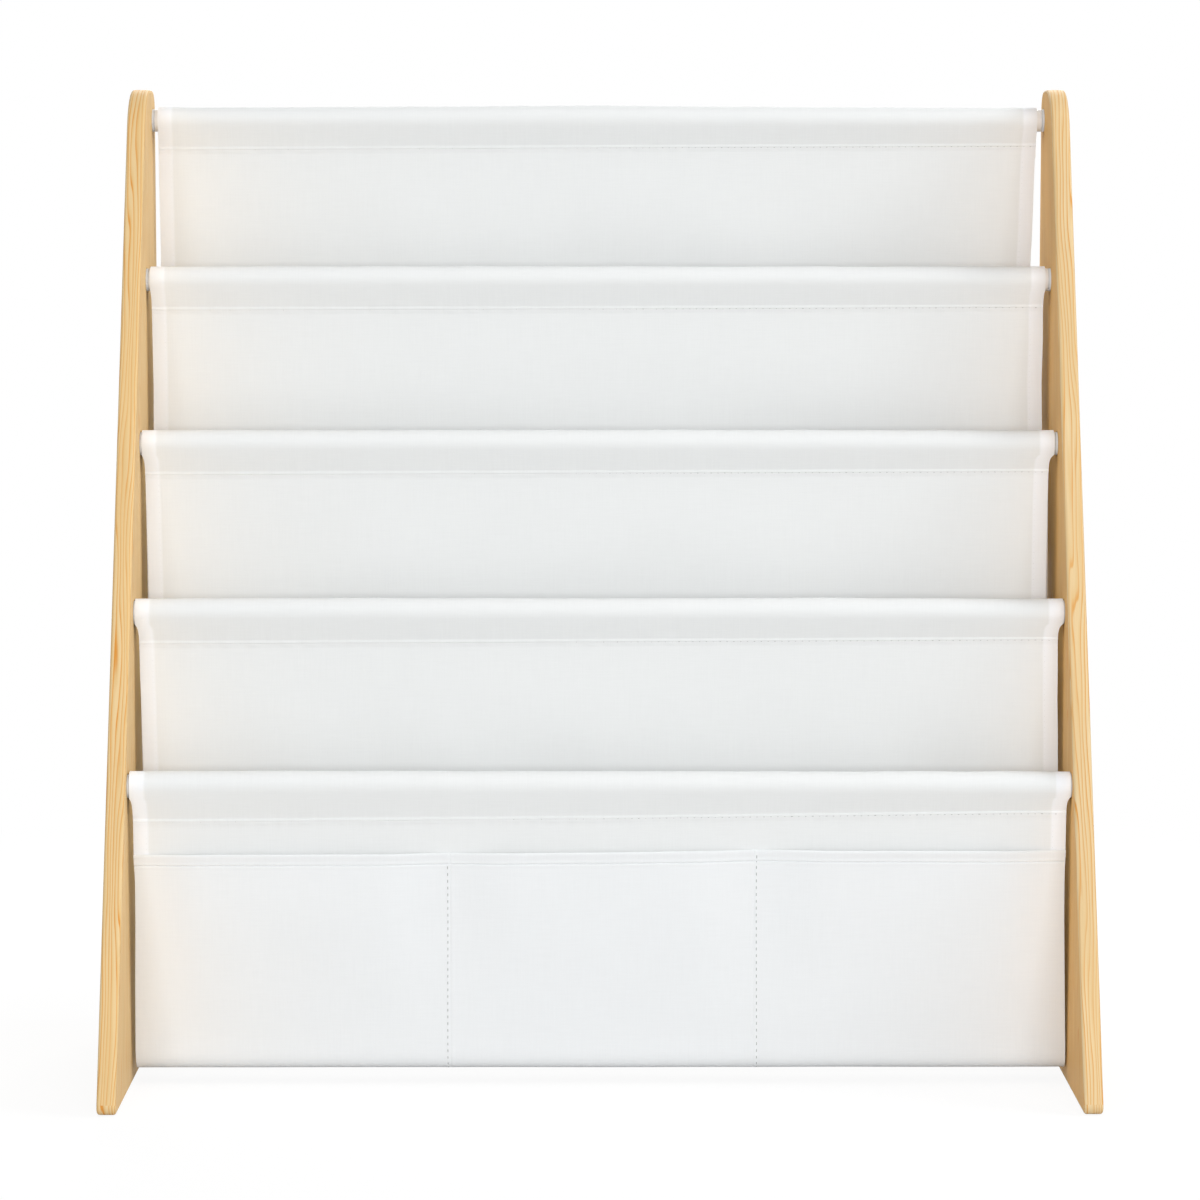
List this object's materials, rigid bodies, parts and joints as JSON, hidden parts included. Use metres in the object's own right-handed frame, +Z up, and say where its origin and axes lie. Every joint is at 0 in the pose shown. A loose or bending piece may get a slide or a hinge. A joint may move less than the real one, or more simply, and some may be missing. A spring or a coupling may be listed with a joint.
{
  "type": "sling bookshelf",
  "caption": "Free-standing children's bookshelf: pine side panels with slanted fronts carry rods from which a white cloth hangs as stepped book slings, with flat pockets on the lowest one.",
  "frame": {"origin": "on the floor, under the middle of the outline", "axes": "+X to the object's right as seen from the front, -Y to the front, +Z up"},
  "size_m": [0.62, 0.3, 0.633],
  "materials": {
    "pine": "clear satin lacquer on solid pine",
    "white_enamel": "white powder coat on steel tube",
    "white_plastic": "moulded white plastic",
    "zinc_steel": "zinc-plated steel",
    "white_canvas": "white woven polyester canvas"
  },
  "bodies": {
    "root": {"side_panel_right": "pine", "side_panel_left": "pine", "rod_1": "white_enamel", "rod_1_plug_left": "white_plastic", "rod_1_plug_right": "white_plastic", "rod_1_insert_left": "zinc_steel", "rod_1_insert_right": "zinc_steel", "rod_1_bolt_left": "zinc_steel", "rod_1_bolt_right": "zinc_steel", "rod_2": "white_enamel", "rod_2_plug_left": "white_plastic", "rod_2_plug_right": "white_plastic", "rod_2_insert_left": "zinc_steel", "rod_2_insert_right": "zinc_steel", "rod_2_bolt_left": "zinc_steel", "rod_2_bolt_right": "zinc_steel", "rod_3": "white_enamel", "rod_3_plug_left": "white_plastic", "rod_3_plug_right": "white_plastic", "rod_3_insert_left": "zinc_steel", "rod_3_insert_right": "zinc_steel", "rod_3_bolt_left": "zinc_steel", "rod_3_bolt_right": "zinc_steel", "rod_4": "white_enamel", "rod_4_plug_left": "white_plastic", "rod_4_plug_right": "white_plastic", "rod_4_insert_left": "zinc_steel", "rod_4_insert_right": "zinc_steel", "rod_4_bolt_left": "zinc_steel", "rod_4_bolt_right": "zinc_steel", "rod_5": "white_enamel", "rod_5_plug_left": "white_plastic", "rod_5_plug_right": "white_plastic", "rod_5_insert_left": "zinc_steel", "rod_5_insert_right": "zinc_steel", "rod_5_bolt_left": "zinc_steel", "rod_5_bolt_right": "zinc_steel", "rear_stretcher": "white_enamel", "rear_stretcher_plug_left": "white_plastic", "rear_stretcher_plug_right": "white_plastic", "rear_stretcher_insert_left": "zinc_steel", "rear_stretcher_insert_right": "zinc_steel", "rear_stretcher_bolt_left": "zinc_steel", "rear_stretcher_bolt_right": "zinc_steel", "sling_1": "white_canvas", "sling_2": "white_canvas", "sling_3": "white_canvas", "sling_4": "white_canvas", "front_pocket_left": "white_canvas", "front_pocket_middle": "white_canvas", "front_pocket_right": "white_canvas"}
  },
  "joints": []
}
